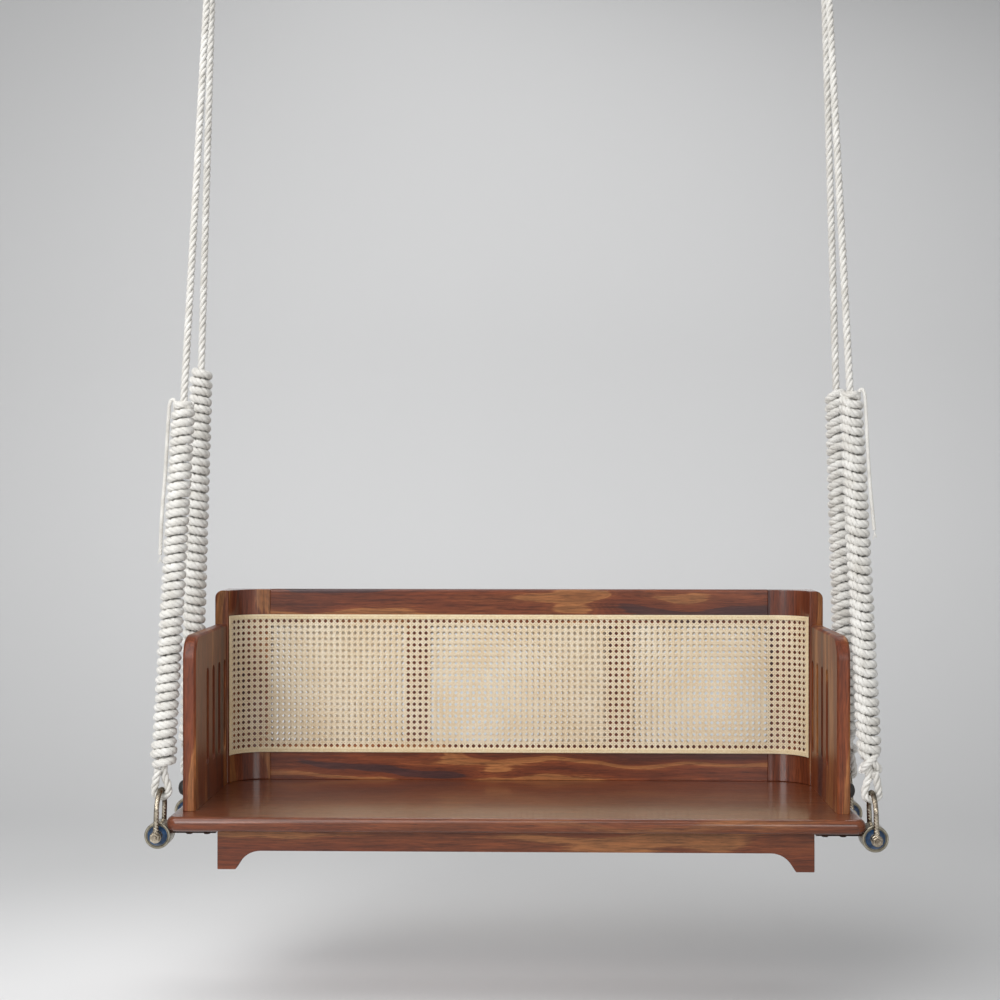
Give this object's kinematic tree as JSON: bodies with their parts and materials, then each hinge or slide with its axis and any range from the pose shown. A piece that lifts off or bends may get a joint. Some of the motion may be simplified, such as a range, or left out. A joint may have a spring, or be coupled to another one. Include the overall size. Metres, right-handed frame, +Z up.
{
  "type": "jhoola swing bench",
  "caption": "Ceiling-hung wooden swing bench with a caned back, slotted arms and wound rope suspension on shackles and sealed bearings.",
  "frame": {"origin": "on the ceiling, midway between the two ceiling plates, at the centre of their four bolt holes", "axes": "+X to the bench's right as seen from in front, +Y to the back of the bench, +Z up"},
  "size_m": [1.4088, 0.515, 2.026],
  "materials": {
    "rosewood": "satin",
    "cane": "satin",
    "cane_binding": "satin",
    "cotton_rope": "matte",
    "aged_steel": "satin",
    "bright_steel": "satin",
    "sealed_bearing": "satin",
    "buffer": "satin"
  },
  "bodies": {
    "ceiling": {"ceiling_plates": "aged_steel", "ceiling_staples": "aged_steel"},
    "hangers": {"hanger_links": "aged_steel"},
    "left_ropes": {"rope_front_left": "cotton_rope", "rope_rear_left": "cotton_rope", "wrap_front_left": "cotton_rope", "wrap_rear_left": "cotton_rope", "loose_end_left": "cotton_rope", "shackles_left": "aged_steel", "axle_bolts_left": "bright_steel", "axle_nuts_left": "bright_steel", "bearing_sleeves_left": "bright_steel"},
    "right_ropes": {"rope_front_right": "cotton_rope", "rope_rear_right": "cotton_rope", "wrap_front_right": "cotton_rope", "wrap_rear_right": "cotton_rope", "loose_end_right": "cotton_rope", "shackles_right": "aged_steel", "axle_bolts_right": "bright_steel", "axle_nuts_right": "bright_steel", "bearing_sleeves_right": "bright_steel"},
    "bench": {"seat_plank": "rosewood", "apron_front": "rosewood", "apron_rear": "rosewood", "apron_left": "rosewood", "apron_right": "rosewood", "seat_battens": "rosewood", "back_top_rail": "rosewood", "back_bottom_rail": "rosewood", "back_stile_left": "rosewood", "back_stile_right": "rosewood", "corner_post_left": "rosewood", "corner_post_right": "rosewood", "arm_left": "rosewood", "arm_right": "rosewood", "cane_front": "cane", "cane_corners": "cane", "cane_rear": "cane", "cane_binding_front": "cane_binding", "cane_binding_rear": "cane_binding", "bearing_housings_front": "bright_steel", "bearing_housings_rear": "bright_steel", "seat_brackets_front": "bright_steel", "seat_brackets_rear": "bright_steel", "bracket_screws_front": "bright_steel", "bracket_screws_rear": "bright_steel", "bearings_front": "sealed_bearing", "bearings_rear": "sealed_bearing", "arm_buffers": "buffer"}
  },
  "joints": [
    {"name": "swing", "type": "hinge", "parent": "ceiling", "child": "hangers", "pos_m": [0, 0, -0.0333], "axis": [1, 0, 0], "range_deg": [-30, 30]},
    {"name": "sway_left", "type": "hinge", "parent": "hangers", "child": "left_ropes", "pos_m": [-0.621, 0, -0.09], "axis": [0, 1, 0], "range_deg": [-0.5, 0.5]},
    {"name": "sway_right", "type": "hinge", "parent": "hangers", "child": "right_ropes", "pos_m": [0.621, 0, -0.09], "axis": [0, 1, 0], "range_deg": [-0.5, 0.5]},
    {"name": "bench_tilt", "type": "hinge", "parent": "left_ropes", "child": "bench", "pos_m": [-0.679, 0, -1.959], "axis": [0, 1, 0], "range_deg": [-0.5, 0.5]}
  ],
  "couplings": [
    {"joint": "sway_right", "follows": "sway_left", "ratio": 1},
    {"joint": "bench_tilt", "follows": "sway_left", "ratio": -0.91458}
  ]
}
